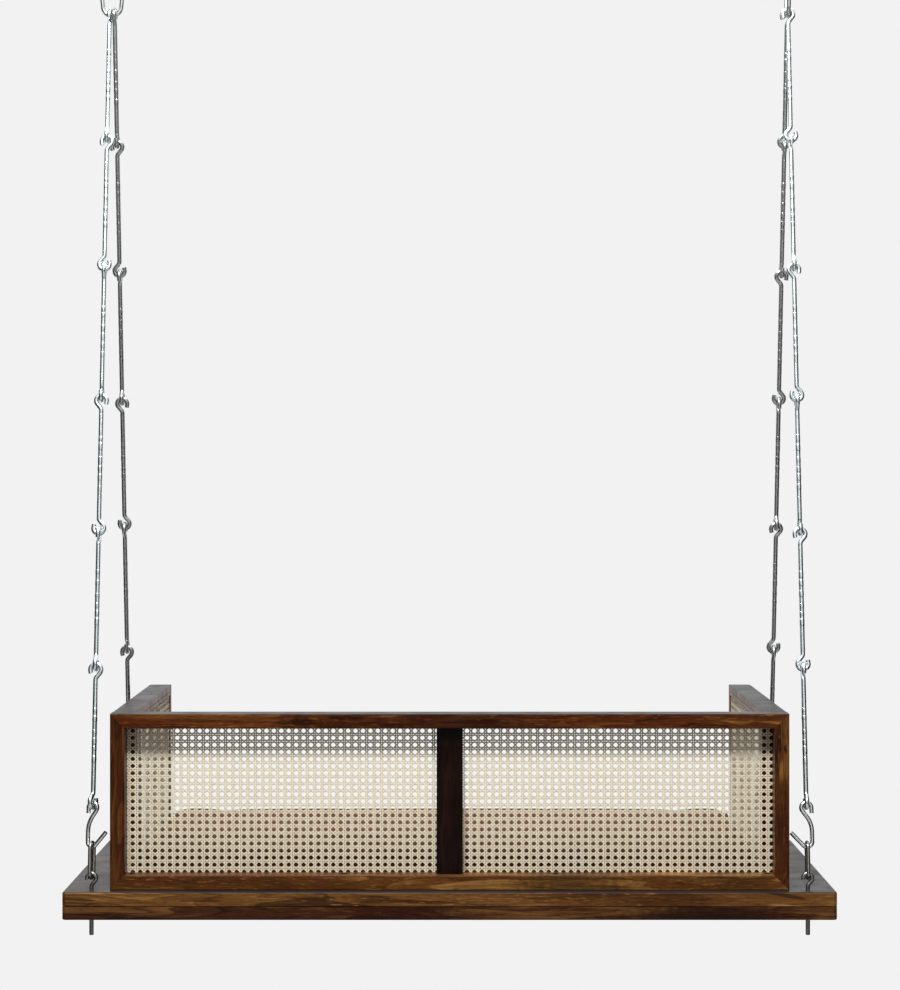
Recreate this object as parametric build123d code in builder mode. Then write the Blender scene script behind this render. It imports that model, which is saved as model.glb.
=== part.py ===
from build123d import *
import os
from math import cos, radians, sin, sqrt

# A jhoola: a wide wooden swing seat with a caned back and caned arms, hung on four chains of long
# hooked rods, two chains to a ring and one ring to each ceiling plate.
# Millimetres. +Z is up, X runs along the seat's width and +Y points to the open front of the seat.
# The origin lies on the ceiling, midway between the two ceiling plates.

os.makedirs("parts", exist_ok=True)

# ---------------------------------------------------------------- driving dimensions

# seat platform
seat_width = 1270.0
seat_depth = 560.0
seat_board_thickness = 24.0
seat_corner_radius = 7.0
seat_edge_radius = 2.5
seat_shift = 4.0             # middle of the seat ahead of the rings, to hang level
under_rail_height = 21.5
back_rail_width = 60.0
front_rail_width = 101.0     # wider than the back rail: it balances the backrest
side_rail_width = 70.0
batten_width = 60.0
batten_spacing = 420.0
under_edge_radius = 2.0

# backrest and arms
frame_chain_gap = 31.6       # eye bolts to the outer sides of the backrest and arms
frame_height = 290.0
back_inset = 20.0            # seat's back edge to the back face of the backrest
back_thickness = 40.0
member_face = 24.0           # face width of the backrest's rails and stiles
frame_edge_radius = 1.5
mullion_width = 43.0
mullion_thickness = 18.0
arm_thickness = 40.0
arm_front_inset = 5.0        # seat's front edge to the front of the arms
arm_rear_stile_width = 38.0
arm_front_stile_width = 28.0
arm_corner_radius = 9.0

# cane
cane_thickness = 2.0
cane_play = 0.1
back_cane_setback = 5.0      # front face of the backrest to the cane
back_cane_edge = 5.0         # how far the cane runs into its groove
arm_cane_border = 11.0       # wood left showing beyond the cane on the arm rails
arm_cane_cover = 6.0         # how far the cane laps each arm stile
cane_opening = 44.0          # side of each opening of the weave
cane_rows = 3
back_cane_columns = 6        # on each side of the mullion
arm_cane_columns = 5

# cushion
cushion_thickness = 56.0
cushion_gap = 3.0
cushion_front_inset = 12.0
cushion_edge_radius = 16.0

# wires of the hanging gear
rod_radius = 4.0
s_hook_radius = 3.6
link_radius = 3.25
eye_radius = 3.5
ring_radius = 3.75
staple_radius = 5.0

# bends of the hanging gear, measured on the wire's centre line
rod_bend = 9.0
rod_neck_bend = 10.0
rod_tip_length = 5.0
s_hook_top_bend = 8.4
s_hook_low_bend = 8.5
s_hook_sweep_bend = 40.0
s_hook_neck_angle = 37.0
s_hook_top_tip = 9.0
s_hook_leg_length = 29.0
s_hook_leg_angle = 46.0
link_bend = 9.25
eye_bend = 7.6
eye_neck_bend = 7.0
eye_tip_length = 1.0
ring_top_bend = 22.0
ring_low_bend = 16.0
hook_neck_angle = 40.0
hook_tip_angle = 10.0

# lengths of the hanging gear, between the wire's centre lines at the two ends
rod_length = 237.3
s_hook_length = 72.5
link_length = 57.6
ring_bend_spacing = 64.0
rods_per_chain = 6

# places of the hanging gear
eye_side_inset = 44.4        # seat's side edge to the eye bolts
eye_end_inset = 34.0         # seat's back or front edge to the eye bolts, before the shift
eye_rise = 26.3              # seat top to the centre line of the eye's crown
contact_play = 0.55          # between two wires that hook into each other
loop_play = 0.92             # between the ring and what it hangs on or carries
hook_gap = 0.6               # between the two hooks that share a ring

# ceiling plates
plate_size = 100.0
plate_thickness = 8.0
plate_corner_radius = 8.0
plate_hole_radius = 4.5
plate_hole_spacing = 70.0
staple_drop = 34.0           # plate's underside to the centre line of the staple's bar
staple_spread = 44.0         # between the centre lines of the staple's legs
staple_bend = 9.0

# fasteners
bolt_hole_play = 0.25
washer_radius = 9.0
washer_thickness = 1.2
nut_flats = 13.0
nut_height = 6.0
nut_thread_play = 0.05
counterbore_radius = 11.0
counterbore_depth = 3.0
stud_below_seat = 29.5
screw_radius = 2.0
screw_head_radius = 4.2
screw_head_depth = 2.6
screw_length = 42.0
screw_play = 0.1
back_screw_pairs = 2         # in the backrest's bottom rail
back_screw_inset = 34.0      # backrest's end to its outer screws
arm_screw_inset = 87.5       # each end of an arm to its screw

# ---------------------------------------------------------------- places worked out from them

staple_bar_z = -plate_thickness - staple_drop
ring_crown_z = staple_bar_z + staple_radius + ring_radius + loop_play
ring_top_centre_z = ring_crown_z - ring_top_bend
ring_low_centre_z = ring_top_centre_z - ring_bend_spacing
hook_offset = rod_radius + hook_gap / 2
hook_reach = ring_low_bend - ring_radius - rod_radius - loop_play
hook_crown_z = ring_low_centre_z - sqrt(hook_reach**2 - hook_offset**2)
hook_grip = rod_radius + ring_radius + loop_play

eye_x = seat_width / 2 - eye_side_inset
eye_y = seat_depth / 2 - eye_end_inset
frame_width = 2 * (eye_x - frame_chain_gap)


def chain_length(play):
    """Centre line of the eye's crown to the centre line of the top rod's crown."""
    overlaps = eye_radius + 2 * link_radius + 2 * s_hook_radius + rod_radius
    overlaps += 2 * rod_radius * (rods_per_chain - 1)
    contacts = rods_per_chain + 2
    return link_length + s_hook_length + rods_per_chain * rod_length - overlaps - contacts * play


chain_run = eye_y - hook_offset
eye_crown_z = hook_crown_z - sqrt(chain_length(contact_play) ** 2 - chain_run**2)
seat_top_z = eye_crown_z - eye_rise
board_bottom_z = seat_top_z - seat_board_thickness
seat_bottom_z = board_bottom_z - under_rail_height

seat_back_y = seat_shift - seat_depth / 2
seat_front_y = seat_shift + seat_depth / 2
back_face_y = seat_back_y + back_inset
back_front_y = back_face_y + back_thickness
arm_front_y = seat_front_y - arm_front_inset
arm_inner_x = frame_width / 2 - arm_thickness
frame_top_z = seat_top_z + frame_height
opening_width = frame_width - 2 * member_face
opening_height = frame_height - 2 * member_face
cane_back_y = back_front_y - back_cane_setback - cane_thickness
outer_screw_x = frame_width / 2 - back_screw_inset
screw_spaces = 2 * back_screw_pairs - 1
screw_xs = [outer_screw_x * (2 * pair + 1) / screw_spaces for pair in range(back_screw_pairs)]
arm_screw_x = arm_inner_x + arm_thickness / 2
arm_screw_ys = [back_front_y + arm_screw_inset, arm_front_y - arm_screw_inset]
back_middle_y = back_face_y + back_thickness / 2


# ---------------------------------------------------------------- wood

def plank(name, low, high, edge_axis, edge_radius):
    """A straight board between two corners, with the edges along one axis eased."""
    size = [high[i] - low[i] for i in range(3)]
    middle = tuple((high[i] + low[i]) / 2 for i in range(3))
    with BuildPart() as board:
        with Locations(middle):
            Box(*size)
        fillet(board.edges().filter_by(edge_axis), edge_radius)
    board.part.label = name
    export_step(board.part, f"parts/{name}.step")


def eye_bolt_holes():
    """Holes for the four eye bolts, through the board and the rails under it."""
    with Locations((0, 0, seat_top_z)):
        with GridLocations(2 * eye_x, 2 * eye_y, 2, 2):
            Hole(eye_radius + bolt_hole_play, depth=seat_board_thickness + under_rail_height)


def nut_recesses():
    """Recesses on the underside that take each washer and part of its nut."""
    with Locations((0, 0, seat_bottom_z + counterbore_depth / 2)):
        with GridLocations(2 * eye_x, 2 * eye_y, 2, 2):
            Cylinder(counterbore_radius, counterbore_depth, mode=Mode.SUBTRACT)


def screw_places():
    """Every wood screw of the seat, on the top face of the bottom rails of back and arms."""
    back = [(side * x, back_middle_y) for side in (-1, 1) for x in screw_xs]
    arms = [(side * arm_screw_x, y) for side in (-1, 1) for y in arm_screw_ys]
    return back + arms


def screw_holes():
    """Countersunk holes for the wood screws, right down to their points."""
    with Locations([(x, y, seat_top_z + member_face) for x, y in screw_places()]):
        CounterSinkHole(screw_radius + screw_play, screw_head_radius + screw_play, depth=screw_length)


def seat_board():
    """The one wide board that is sat on."""
    with BuildPart() as board:
        with BuildSketch(Plane.XY.offset(board_bottom_z)):
            with Locations((0, seat_shift)):
                RectangleRounded(seat_width, seat_depth, seat_corner_radius)
        extrude(amount=seat_board_thickness)
        rims = board.faces().filter_by(Axis.Z).edges()
        fillet(rims, seat_edge_radius)
        eye_bolt_holes()
        screw_holes()
    board.part.label = "seat_board"
    export_step(board.part, "parts/seat_board.step")


def under_rail(name, front):
    """A long rail glued under the seat's front or back edge, over its whole width."""
    outer_y = seat_front_y if front else seat_back_y
    width = front_rail_width if front else back_rail_width
    middle_y = outer_y - width / 2 if front else outer_y + width / 2
    with BuildPart() as rail:
        with BuildSketch(Plane.XY.offset(seat_bottom_z)):
            with Locations((0, middle_y)):
                Rectangle(seat_width, width)
        extrude(amount=under_rail_height)
        corners = rail.edges().filter_by(Axis.Z)
        outer_corners = corners.sort_by(Axis.Y)[-2:] if front else corners.sort_by(Axis.Y)[:2]
        fillet(outer_corners, seat_corner_radius)
        outline = rail.faces().sort_by(Axis.Z)[0].edges()
        fillet(outline, under_edge_radius)
        eye_bolt_holes()
        nut_recesses()
    rail.part.label = name
    export_step(rail.part, f"parts/{name}.step")


def under_frame():
    """Four rails and two battens that stiffen the board from below."""
    under_rail("seat_back_rail", front=False)
    under_rail("seat_front_rail", front=True)
    low_y = seat_back_y + back_rail_width
    high_y = seat_front_y - front_rail_width
    middles = {
        "seat_left_rail": (-(seat_width - side_rail_width) / 2, side_rail_width),
        "seat_left_batten": (-batten_spacing / 2, batten_width),
        "seat_right_batten": (batten_spacing / 2, batten_width),
        "seat_right_rail": ((seat_width - side_rail_width) / 2, side_rail_width),
    }
    for name, (middle_x, width) in middles.items():
        low = (middle_x - width / 2, low_y, seat_bottom_z)
        high = (middle_x + width / 2, high_y, board_bottom_z)
        plank(name, low, high, Axis.Y, under_edge_radius)


def back_cane_box(play, mode):
    """The space of the cane sheet of the backrest, grown by a little play on every side."""
    width = opening_width + 2 * back_cane_edge + 2 * play
    height = opening_height + 2 * back_cane_edge + 2 * play
    middle = (0, cane_back_y + cane_thickness / 2, seat_top_z + frame_height / 2)
    with Locations(middle):
        Box(width, cane_thickness + 2 * play, height, mode=mode)


def step_middles(low, high, count):
    """Middles of equal steps between two ends."""
    step = (high - low) / count
    return [low + (place + 0.5) * step for place in range(count)]


def weave_openings(xs, ys, across_y):
    """Square openings through a cane sheet, in rows up its frame."""
    zs = step_middles(seat_top_z + member_face, frame_top_z - member_face, cane_rows)
    through = 2 * cane_thickness
    size = (through, cane_opening) if across_y else (cane_opening, through)
    with Locations([(x, y, z) for x in xs for y in ys for z in zs]):
        Box(*size, cane_opening, mode=Mode.SUBTRACT)


def mitred_member(name, corners, long_axis, screws=False):
    """One mitred member of the backrest, given by its four corners as seen from behind."""
    with BuildPart() as member:
        with BuildSketch(Plane.XZ.offset(-back_front_y)):
            Polygon(*corners, align=None)
        extrude(amount=back_thickness)
        fillet(member.edges().filter_by(long_axis), frame_edge_radius)
        back_cane_box(cane_play, Mode.SUBTRACT)
        if screws:
            screw_holes()
    member.part.label = name
    export_step(member.part, f"parts/{name}.step")


def backrest():
    """Mitred frame, middle mullion and one sheet of cane."""
    half = frame_width / 2
    inner = opening_width / 2
    bottom = seat_top_z
    top = frame_top_z
    low = bottom + member_face
    high = top - member_face
    mitred_member("back_top_rail", [(-half, top), (-inner, high), (inner, high), (half, top)], Axis.X)
    mitred_member(
        "back_bottom_rail", [(-half, bottom), (half, bottom), (inner, low), (-inner, low)], Axis.X, True
    )
    mitred_member("back_left_stile", [(-half, bottom), (-inner, low), (-inner, high), (-half, top)], Axis.Z)
    mitred_member("back_right_stile", [(half, bottom), (half, top), (inner, high), (inner, low)], Axis.Z)
    mullion_front_y = cane_back_y - cane_play
    plank(
        "back_mullion",
        (-mullion_width / 2, mullion_front_y - mullion_thickness, low),
        (mullion_width / 2, mullion_front_y, high),
        Axis.Z,
        frame_edge_radius,
    )
    xs = step_middles(mullion_width / 2, inner, back_cane_columns)
    with BuildPart() as cane:
        back_cane_box(0, Mode.ADD)
        cane_middle_y = cane_back_y + cane_thickness / 2
        weave_openings([side * x for side in (-1, 1) for x in xs], [cane_middle_y], False)
    cane.part.label = "back_cane"
    export_step(cane.part, "parts/back_cane.step")


def arm_cane_box(side, play, mode):
    """The space of an arm's cane sheet, let into the arm's inner face."""
    low_y = back_front_y + arm_rear_stile_width - arm_cane_cover - play
    high_y = arm_front_y - arm_front_stile_width + arm_cane_cover + play
    height = frame_height - 2 * arm_cane_border + 2 * play
    depth = cane_thickness + play
    middle = (side * (arm_inner_x + depth / 2), (low_y + high_y) / 2, seat_top_z + frame_height / 2)
    with Locations(middle):
        Box(depth, high_y - low_y, height, mode=mode)


def arm_member(name, side, low_y, high_y, low_z, high_z, long_axis, screws=False):
    """A straight member of an arm, rebated for the cane, its front outer corner rounded."""
    with BuildPart() as member:
        with Locations((side * arm_screw_x, (low_y + high_y) / 2, (low_z + high_z) / 2)):
            Box(arm_thickness, high_y - low_y, high_z - low_z)
        if high_y == arm_front_y:
            fronts = member.edges().filter_by(Axis.Z).group_by(Axis.Y)[-1]
            outer_corner = fronts.sort_by(Axis.X)[-1 if side > 0 else 0]
            fillet(outer_corner, arm_corner_radius)
        edges = member.edges().filter_by(long_axis)
        if long_axis == Axis.Z:
            edges = edges.group_by(Axis.Y)[0]
        fillet(edges, frame_edge_radius)
        arm_cane_box(side, cane_play, Mode.SUBTRACT)
        if screws:
            screw_holes()
    member.part.label = name
    export_step(member.part, f"parts/{name}.step")


def arm(name, side):
    """Top and bottom rail, front and rear stile, and a sheet of cane on the inside."""
    low = seat_top_z + member_face
    high = frame_top_z - member_face
    rear_end = back_front_y + arm_rear_stile_width
    front_start = arm_front_y - arm_front_stile_width
    arm_member(f"{name}_arm_top_rail", side, back_front_y, arm_front_y, high, frame_top_z, Axis.Y)
    arm_member(f"{name}_arm_bottom_rail", side, back_front_y, arm_front_y, seat_top_z, low, Axis.Y, True)
    arm_member(f"{name}_arm_rear_stile", side, back_front_y, rear_end, low, high, Axis.Z)
    arm_member(f"{name}_arm_front_stile", side, front_start, arm_front_y, low, high, Axis.Z)
    cane_x = side * (arm_inner_x + cane_thickness / 2)
    with BuildPart() as cane:
        arm_cane_box(side, 0, Mode.ADD)
        weave_openings([cane_x], step_middles(rear_end, front_start, arm_cane_columns), True)
    cane.part.label = f"{name}_arm_cane"
    export_step(cane.part, f"parts/{name}_arm_cane.step")


def seat_cushion():
    """A loose pad that fills the seat between the arms."""
    width = 2 * (arm_inner_x - cushion_gap)
    low_y = back_front_y + cushion_gap
    depth = seat_front_y - cushion_front_inset - low_y
    with BuildPart() as cushion:
        with BuildSketch(Plane.XY.offset(seat_top_z)):
            with Locations((0, low_y + depth / 2)):
                RectangleRounded(width, depth, cushion_edge_radius)
        extrude(amount=cushion_thickness)
        fillet(cushion.faces().sort_by(Axis.Z)[-1].edges(), cushion_edge_radius)
    cushion.part.label = "seat_cushion"
    export_step(cushion.part, "parts/seat_cushion.step")


# ---------------------------------------------------------------- hanging gear

def hook_line(bend, neck_bend, tip_length):
    """An open hook in the current plane: crown at the plane's origin, shaft leaving straight down."""
    tip = radians(hook_tip_angle)
    neck_run = hook_neck_run(bend, neck_bend)
    arc_x = -bend * cos(tip)
    arc_y = -bend - bend * sin(tip)
    tip_line = Line((arc_x + tip_length * sin(tip), arc_y - tip_length * cos(tip)), (arc_x, arc_y))
    crown = JernArc(tip_line @ 1, tip_line % 1, bend, -(180 + hook_tip_angle + hook_neck_angle))
    neck = PolarLine(crown @ 1, neck_run, direction=crown % 1)
    JernArc(neck @ 1, neck % 1, neck_bend, hook_neck_angle)


def hook_neck_run(bend, neck_bend):
    """The straight part of a hook's neck, which brings its shaft back under the crown."""
    neck = radians(hook_neck_angle)
    return (bend * cos(neck) - neck_bend * (1 - cos(neck))) / sin(neck)


def hook_height(bend, neck_bend):
    """Crown to the place where the shaft is straight."""
    neck = radians(hook_neck_angle)
    turns = bend + bend * sin(neck) + neck_bend * sin(neck)
    return turns + hook_neck_run(bend, neck_bend) * cos(neck)


def sweep_wire(builder, radius):
    """A round wire along a builder's line: the section stands at the line's start."""
    path = builder.wire()
    with BuildSketch(Plane(origin=path @ 0, z_dir=path % 0)) as section:
        Circle(radius)
    sweep(section.sketch, path=path)


class Chain:
    """The straight line from an eye bolt up to its ring, and the planes of the pieces along it."""

    def __init__(self, side, row):
        side_sign = -1 if side == "left" else 1
        row_sign = -1 if row == "back" else 1
        self.row_sign = row_sign
        # The left ring lies across the seat and the right one along it, so the two hooks
        # sit side by side in X on the left, where they lean against each other over the
        # ring, and in Y on the right.
        lean = hook_grip * eye_y / (hook_crown_z - eye_crown_z)
        shift = (hook_offset, -lean) if side == "left" else (0, hook_offset)
        self.top = Vector(side_sign * eye_x + row_sign * shift[0], row_sign * shift[1], hook_crown_z)
        self.foot = Vector(side_sign * eye_x, row_sign * eye_y, eye_crown_z)
        self.up = (self.top - self.foot).normalized()
        self.across = (Vector(1, 0, 0) - self.up * self.up.X).normalized()
        spare = chain_length(0) - (self.top - self.foot).length
        self.play = spare / (rods_per_chain + 2)
        self.side = side
        self.row = row

    def plane(self, height, turn, inverted=False):
        """Plane across the chain at a height above the eye, its local Y up along the chain."""
        x_dir = self.across.rotate(Axis((0, 0, 0), self.up), -self.row_sign * turn)
        z_dir = x_dir.cross(self.up)
        origin = self.foot + self.up * height
        return Plane(origin=origin, x_dir=-x_dir if inverted else x_dir, z_dir=z_dir)

    def heights(self):
        """Heights of each piece's lower and upper crown above the eye's crown."""
        link_low = -(eye_radius + link_radius + self.play)
        link_high = link_low + link_length
        hook_low = link_high - (link_radius + s_hook_radius + self.play)
        hook_high = hook_low + s_hook_length
        rods = []
        low = hook_high - (s_hook_radius + rod_radius + self.play)
        for _ in range(rods_per_chain):
            rods.insert(0, (low, low + rod_length))
            low += rod_length - (2 * rod_radius + self.play)
        return (link_low, link_high), (hook_low, hook_high), rods


# Turn of each rod's upper and lower hook about the chain, and of the S-hook and the oval link,
# in degrees. 0 lies across the seat, and the front chains mirror the back ones.
# Neighbours cross each other.
rod_turns = {
    "left": [(90, 90), (0, 0), (-90, -90), (180, 180), (90, 90), (0, 65)],
    "right": [(0, 0), (90, 90), (180, 180), (-90, -90), (0, 0), (90, 90)],
}
s_hook_turn = {"left": 155, "right": 0}
link_turn = {"left": 78, "right": 90}


def rod(chain, index):
    """A long rod with an open hook bent at each end."""
    low, high = chain.heights()[2][index]
    upper_turn, lower_turn = rod_turns[chain.side][index]
    upper = chain.plane(high, upper_turn)
    lower = chain.plane(low, lower_turn, inverted=True)
    name = f"{chain.row}_{chain.side}_rod_{index + 1}"
    with BuildPart() as bar:
        with BuildLine(upper) as upper_hook:
            hook_line(rod_bend, rod_neck_bend, rod_tip_length)
        with BuildLine(lower) as lower_hook:
            hook_line(rod_bend, rod_neck_bend, rod_tip_length)
        with BuildLine() as path:
            add(upper_hook.line)
            straight = hook_height(rod_bend, rod_neck_bend)
            Line(chain.foot + chain.up * (high - straight), chain.foot + chain.up * (low + straight))
            add(lower_hook.line)
        sweep_wire(path, rod_radius)
    bar.part.label = name
    export_step(bar.part, f"parts/{name}.step")


def s_hook_line():
    """An S-hook in the current plane: upper crown at the origin, lower crown below it."""
    neck = radians(s_hook_neck_angle)
    side = s_hook_top_bend
    neck_x = -side * cos(neck)
    sweep_x = s_hook_sweep_bend * (1 - cos(neck))
    neck_run = (s_hook_low_bend - neck_x - sweep_x) / sin(neck)
    sweep_end_y = -side - (side + s_hook_sweep_bend) * sin(neck) - neck_run * cos(neck)
    shaft_length = sweep_end_y - (s_hook_low_bend - s_hook_length)
    tip = Line((side, -side - s_hook_top_tip), (side, -side))
    crown = JernArc(tip @ 1, tip % 1, side, 180 + s_hook_neck_angle)
    cross = PolarLine(crown @ 1, neck_run, direction=crown % 1)
    sweep_arc = JernArc(cross @ 1, cross % 1, s_hook_sweep_bend, -s_hook_neck_angle)
    shaft = PolarLine(sweep_arc @ 1, shaft_length, direction=sweep_arc % 1)
    low_crown = JernArc(shaft @ 1, shaft % 1, s_hook_low_bend, -(90 + s_hook_leg_angle))
    PolarLine(low_crown @ 1, s_hook_leg_length, direction=low_crown % 1)


def s_hooks(side, chains):
    """The two S-hooks of one side."""
    with BuildPart() as hooks:
        for chain in chains:
            high = chain.heights()[1][1]
            with BuildLine(chain.plane(high, s_hook_turn[side])) as line:
                s_hook_line()
            sweep_wire(line, s_hook_radius)
    hooks.part.label = f"{side}_s_hooks"
    export_step(hooks.part, f"parts/{side}_s_hooks.step")


def oval_links(chains):
    """Closed oval links between the S-hooks and the eye bolts."""
    with BuildPart() as links:
        for chain in chains:
            low, high = chain.heights()[0]
            straight = high - low - 2 * link_bend
            with BuildLine(chain.plane((low + high) / 2, link_turn[chain.side])) as line:
                right = Line((link_bend, -straight / 2), (link_bend, straight / 2))
                JernArc(right @ 1, right % 1, link_bend, 180)
                left = Line((-link_bend, straight / 2), (-link_bend, -straight / 2))
                JernArc(left @ 1, left % 1, link_bend, 180)
            sweep_wire(line, link_radius)
    links.part.label = "oval_links"
    export_step(links.part, "parts/oval_links.step")


def corner_places():
    """Plan positions of the four eye bolts."""
    return [(x * eye_x, y * eye_y) for x in (-1, 1) for y in (-1, 1)]


def eye_bolts():
    """Bolts bent to an open eye above the seat, with their studs reaching below it."""
    straight = hook_height(eye_bend, eye_neck_bend)
    stud_end = seat_bottom_z - stud_below_seat
    with BuildPart() as bolts:
        for x, y in corner_places():
            with BuildLine(upright_plane((x, y, eye_crown_z), Axis.X)) as line:
                hook_line(eye_bend, eye_neck_bend, eye_tip_length)
                Line((0, -straight), (0, stud_end - eye_crown_z))
            sweep_wire(line, eye_radius)
    bolts.part.label = "eye_bolts"
    export_step(bolts.part, "parts/eye_bolts.step")


def washers_and_nuts():
    """A washer and a hexagon nut under each corner of the seat."""
    washer_top = seat_bottom_z + counterbore_depth
    washer_low = washer_top - washer_thickness
    with BuildPart() as washers:
        with BuildSketch(Plane.XY.offset(washer_low)):
            with Locations(corner_places()):
                Circle(washer_radius)
                Circle(eye_radius + bolt_hole_play, mode=Mode.SUBTRACT)
        extrude(amount=washer_thickness)
    washers.part.label = "washers"
    export_step(washers.part, "parts/washers.step")
    with BuildPart() as nuts:
        with BuildSketch(Plane.XY.offset(washer_low - nut_height)):
            with Locations(corner_places()):
                RegularPolygon(nut_flats / 2, 6, major_radius=False)
                Circle(eye_radius + nut_thread_play, mode=Mode.SUBTRACT)
        extrude(amount=nut_height)
    nuts.part.label = "nuts"
    export_step(nuts.part, "parts/nuts.step")


def wood_screws():
    """Countersunk screws that hold the back and the arms down on the seat board."""
    head_top = seat_top_z + member_face
    with BuildPart() as screws:
        with BuildSketch(Plane.XZ) as profile:
            with BuildLine():
                Polyline(
                    (0, head_top),
                    (screw_head_radius, head_top),
                    (screw_radius, head_top - screw_head_depth),
                    (screw_radius, head_top - screw_length + screw_radius),
                    (0, head_top - screw_length),
                    close=True,
                )
            make_face()
        one = revolve(profile.sketch, Axis.Z, mode=Mode.PRIVATE)
        for x, y in screw_places():
            add(one.moved(Location((x, y, 0))))
    screws.part.label = "wood_screws"
    export_step(screws.part, "parts/wood_screws.step")


def upright_plane(origin, lies_along):
    """An upright plane whose local X lies along the given level axis."""
    x_dir = lies_along.direction
    return Plane(origin=origin, x_dir=x_dir, z_dir=x_dir.cross(Vector(0, 0, 1)))


def ring(name, side_sign, lies_along):
    """A pear-shaped ring, its wide end up."""
    plane = upright_plane((side_sign * eye_x, 0, ring_top_centre_z), lies_along)
    lean = (ring_top_bend - ring_low_bend) / ring_bend_spacing
    side_x = sqrt(1 - lean**2)
    with BuildPart() as pear:
        with BuildLine(plane) as line:
            high_x = ring_top_bend * side_x
            high_y = -ring_top_bend * lean
            low_x = ring_low_bend * side_x
            low_y = -ring_bend_spacing - ring_low_bend * lean
            ThreePointArc((high_x, high_y), (0, ring_top_bend), (-high_x, high_y))
            Line((-high_x, high_y), (-low_x, low_y))
            ThreePointArc((-low_x, low_y), (0, -ring_bend_spacing - ring_low_bend), (low_x, low_y))
            Line((low_x, low_y), (high_x, high_y))
        sweep_wire(line, ring_radius)
    pear.part.label = name
    export_step(pear.part, f"parts/{name}.step")


def ceiling_plate(name, side_sign, lies_along):
    """A drilled plate with a staple welded under it, which the ring hangs on."""
    middle_x = side_sign * eye_x
    leg = staple_spread / 2
    bar = staple_bar_z + plate_thickness / 2
    with BuildPart() as plate:
        with BuildSketch(Plane.XY):
            with Locations((middle_x, 0)):
                RectangleRounded(plate_size, plate_size, plate_corner_radius)
                with GridLocations(plate_hole_spacing, plate_hole_spacing, 2, 2):
                    Circle(plate_hole_radius, mode=Mode.SUBTRACT)
        extrude(amount=-plate_thickness)
        with BuildLine(upright_plane((middle_x, 0, -plate_thickness / 2), lies_along)) as line:
            FilletPolyline((-leg, 0), (-leg, bar), (leg, bar), (leg, 0), radius=staple_bend)
        sweep_wire(line, staple_radius)
    plate.part.label = name
    export_step(plate.part, f"parts/{name}.step")


# ---------------------------------------------------------------- the whole swing

seat_board()
under_frame()
backrest()
arm("left", -1)
arm("right", 1)
seat_cushion()

left_chains = [Chain("left", "back"), Chain("left", "front")]
right_chains = [Chain("right", "back"), Chain("right", "front")]
for hanging in left_chains + right_chains:
    for place in range(rods_per_chain):
        rod(hanging, place)
s_hooks("left", left_chains)
s_hooks("right", right_chains)
oval_links(left_chains + right_chains)
eye_bolts()
washers_and_nuts()
wood_screws()

ring("left_ring", -1, Axis.X)
ring("right_ring", 1, Axis.Y)
ceiling_plate("left_ceiling_plate", -1, Axis.Y)
ceiling_plate("right_ceiling_plate", 1, Axis.X)
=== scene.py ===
import math
import random

import bmesh
import bpy
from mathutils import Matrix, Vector
from mathutils.kdtree import KDTree

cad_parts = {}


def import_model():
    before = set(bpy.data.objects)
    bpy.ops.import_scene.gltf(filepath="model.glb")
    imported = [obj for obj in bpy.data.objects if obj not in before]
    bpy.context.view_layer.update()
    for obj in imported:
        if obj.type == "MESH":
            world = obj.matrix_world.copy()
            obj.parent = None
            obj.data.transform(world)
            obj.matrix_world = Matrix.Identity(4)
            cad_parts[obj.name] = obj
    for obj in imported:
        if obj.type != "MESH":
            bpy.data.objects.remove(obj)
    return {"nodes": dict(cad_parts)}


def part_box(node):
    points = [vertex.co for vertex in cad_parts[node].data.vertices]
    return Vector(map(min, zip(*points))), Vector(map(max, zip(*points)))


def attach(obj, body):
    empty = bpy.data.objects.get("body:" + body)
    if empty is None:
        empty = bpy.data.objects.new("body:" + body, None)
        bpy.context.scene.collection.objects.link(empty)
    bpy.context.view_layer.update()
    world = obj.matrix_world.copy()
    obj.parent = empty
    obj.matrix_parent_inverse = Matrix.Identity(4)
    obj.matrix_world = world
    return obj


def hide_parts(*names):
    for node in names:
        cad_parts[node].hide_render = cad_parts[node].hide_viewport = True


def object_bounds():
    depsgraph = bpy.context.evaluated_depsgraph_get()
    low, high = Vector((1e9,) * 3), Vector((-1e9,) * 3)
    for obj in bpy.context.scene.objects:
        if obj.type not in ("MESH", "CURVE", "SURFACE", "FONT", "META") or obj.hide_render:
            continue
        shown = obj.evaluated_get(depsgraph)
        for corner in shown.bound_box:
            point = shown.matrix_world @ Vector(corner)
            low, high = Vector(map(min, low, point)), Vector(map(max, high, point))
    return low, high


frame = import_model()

# A jhoola swing, seen from behind. Metres, +Z up, +Y towards the open front of the seat.
cad_low, cad_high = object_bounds()
nodes = frame["nodes"]


# ---------------------------------------------------------------- sizes shared by the pieces

MM = 0.001
UP = Vector((0, 0, 1))
side_signs = {"left": -1, "right": 1}
row_signs = {"back": -1, "front": 1}


def box_corners(node):
    """The low and the high corner of a CAD node's box."""
    return [Vector(corner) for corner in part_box(node)]


seat_top = box_corners("seat_board")[1].z
seat_bottom = box_corners("seat_back_rail")[0].z

# hanging gear, as in the CAD model: where each chain's straight line starts and ends
rod_radius = 4.0 * MM
rods_per_chain = 6
stud_radius = 3.5 * MM
eye_x = 590.6 * MM
eye_y = 246.0 * MM
eye_crown_z = box_corners("eye_bolts")[1].z - stud_radius
hook_offset = 4.3 * MM        # upper hooks to the middle of their ring
hook_lean = 1.45 * MM         # and, on the left ring, to its plane


# ---------------------------------------------------------------- meshes

def finished_mesh(name, bm):
    """Turns a bmesh into a mesh and frees it."""
    mesh = bpy.data.meshes.new(name)
    bm.to_mesh(mesh)
    bm.free()
    return mesh


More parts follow.
